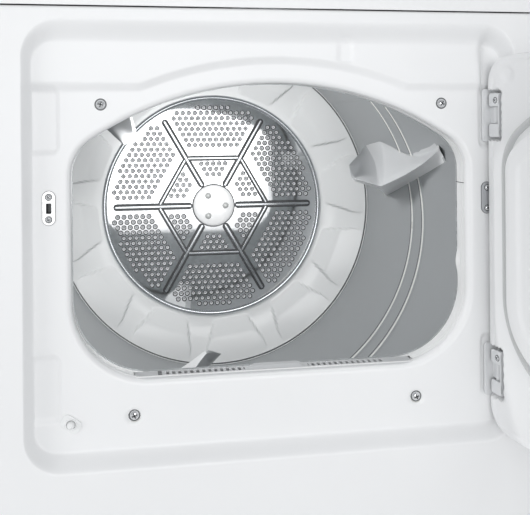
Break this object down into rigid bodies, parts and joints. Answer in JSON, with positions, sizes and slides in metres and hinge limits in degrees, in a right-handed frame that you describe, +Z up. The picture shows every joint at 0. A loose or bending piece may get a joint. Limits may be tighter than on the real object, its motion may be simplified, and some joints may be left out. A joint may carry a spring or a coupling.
{
  "type": "clothes dryer",
  "caption": "Free-standing vented clothes dryer with a recessed side-hinged door, arched loading opening, ribbed drum with perforated rear disc, lint filter and sloped rear console",
  "frame": {"origin": "centre of the base pan underside, 20 mm above the floor that the feet stand on", "axes": "+Z up, -Y out of the front, +X to the right as seen from the front; rest pose has the door open and the lint filter home"},
  "size_m": [0.7196, 1.3152, 1.095],
  "materials": {
    "white_paint": "gloss enamel",
    "door_paint": "gloss enamel",
    "galvanised": "galvanised sheet",
    "drum_paint": "satin grey",
    "drum_white": "satin",
    "disc_steel": "polished",
    "hub_white": "gloss enamel",
    "rivet_steel": "bright",
    "lifter_plastic": "satin",
    "collar_plastic": "satin",
    "filter_plastic": "satin",
    "filter_mesh": "woven screen",
    "chrome_screw": "bright",
    "hinge_steel": "zinc plated",
    "plate_grey": "zinc plated",
    "catch_white": "gloss",
    "switch_plastic": "satin",
    "felt": "felt",
    "glide_plastic": "low friction",
    "shaft_steel": "ground",
    "bearing_bronze": "sintered",
    "heater_wire": "oxidised",
    "thermostat_black": "phenolic",
    "blower_plastic": "satin",
    "duct_steel": "galvanised",
    "motor_black": "satin",
    "pulley_steel": "machined",
    "belt_rubber": "ribbed",
    "idler_plastic": "nylon",
    "foot_rubber": "moulded",
    "seal_rubber": "soft lip",
    "console_plastic": "gloss",
    "control_facia": "satin print ground",
    "knob_plastic": "gloss",
    "switch_body": "satin",
    "terminal_steel": "galvanised"
  },
  "bodies": {
    "cabinet": {"side_panel_left": "white_paint", "side_panel_right": "white_paint", "rear_panel": "galvanised", "base_pan": "galvanised", "levelling_feet": "foot_rubber", "top_panel": "white_paint", "front_panel": "white_paint", "front_screws": "chrome_screw", "strike_catch": "catch_white", "blank_plate": "plate_grey", "door_switch_bracket": "switch_plastic", "opening_collar": "collar_plastic", "front_bulkhead": "galvanised", "drum_glides": "glide_plastic", "drum_felt_seals": "felt", "rear_bearing": "bearing_bronze", "rear_bulkhead": "galvanised", "heater_duct": "duct_steel", "heater_coil": "heater_wire", "thermostats": "thermostat_black", "lint_chute": "blower_plastic", "blower_housing": "blower_plastic", "exhaust_duct": "duct_steel", "motor_housing": "motor_black", "motor_bracket": "galvanised", "drive_belt": "belt_rubber", "idler_stand": "galvanised", "idler_spring": "shaft_steel", "panel_hinge_leaves": "hinge_steel", "hinge_pins": "shaft_steel", "console_end_caps": "console_plastic", "console_housing": "white_paint", "control_panel": "control_facia", "control_switches": "switch_body", "terminal_block": "terminal_steel"},
    "door": {"door_outer_skin": "door_paint", "door_inner_panel": "door_paint", "door_seal": "seal_rubber", "door_strike": "hinge_steel", "door_hinge_leaves": "hinge_steel", "hinge_screws": "chrome_screw"},
    "drum": {"drum_shell": "drum_paint", "drum_rear_ring": "drum_white", "perforated_disc": "disc_steel", "hub_cap": "hub_white", "hub_rivets": "rivet_steel", "drum_shaft": "shaft_steel", "drum_lifters": "lifter_plastic"},
    "lint_filter": {"lint_filter_frame": "filter_plastic", "lint_filter_mesh": "filter_mesh"},
    "motor_shaft": {"motor_rotor": "shaft_steel", "motor_pulley": "pulley_steel", "blower_wheel": "blower_plastic"},
    "idler_lever": {"idler_arm": "galvanised"},
    "idler_wheel": {"idler_pulley": "idler_plastic"},
    "switch_plunger": {"door_switch_plunger": "switch_plastic"},
    "cycle_dial": {"cycle_knob": "knob_plastic"},
    "temperature_dial": {"temperature_knob": "knob_plastic"},
    "start_key": {"start_button": "knob_plastic"}
  },
  "joints": [
    {"name": "door_hinge", "type": "hinge", "parent": "cabinet", "child": "door", "pos_m": [0.2854, -0.3437, 0.555], "axis": [0, 0, 1], "range_deg": [-98, 8]},
    {"name": "drum_spin", "type": "hinge", "parent": "cabinet", "child": "drum", "pos_m": [0, 0.3, 0.555], "axis": [0, 1, 0], "continuous": true},
    {"name": "motor_spin", "type": "hinge", "parent": "cabinet", "child": "motor_shaft", "pos_m": [0.12, -0.1, 0.1], "axis": [0, 1, 0], "continuous": true},
    {"name": "idler_swing", "type": "hinge", "parent": "cabinet", "child": "idler_lever", "pos_m": [0.03889, 0, 0.034], "axis": [0, 1, 0], "range_deg": [-12, 0], "stiffness_Nm_per_rad": 2, "springref_deg": 34.38},
    {"name": "idler_spin", "type": "hinge", "parent": "idler_lever", "child": "idler_wheel", "pos_m": [0.05889, -0.012, 0.09642], "axis": [0, 1, 0], "continuous": true},
    {"name": "lint_filter_slide", "type": "slide", "parent": "cabinet", "child": "lint_filter", "axis": [0, 0, 1], "range_m": [0, 0.262]},
    {"name": "door_switch_press", "type": "slide", "parent": "cabinet", "child": "switch_plunger", "axis": [0, 1, 0], "range_m": [0, 0.004], "stiffness_N_per_m": 300, "springref_m": -0.002},
    {"name": "cycle_knob_turn", "type": "hinge", "parent": "cabinet", "child": "cycle_dial", "pos_m": [0.185, 0.26541, 0.98748], "axis": [0, -0.9539, 0.3001], "continuous": true},
    {"name": "temperature_knob_turn", "type": "hinge", "parent": "cabinet", "child": "temperature_dial", "pos_m": [-0.02, 0.26541, 0.98748], "axis": [0, -0.9539, 0.3001], "range_deg": [-135, 135]},
    {"name": "start_button_press", "type": "slide", "parent": "cabinet", "child": "start_key", "axis": [0, 0.9539, -0.3001], "range_m": [0, 0.004], "stiffness_N_per_m": 400, "springref_m": -0.002}
  ],
  "couplings": [
    {"joint": "motor_spin", "follows": "drum_spin", "ratio": 24.609},
    {"joint": "idler_spin", "follows": "drum_spin", "ratio": -14.722}
  ]
}
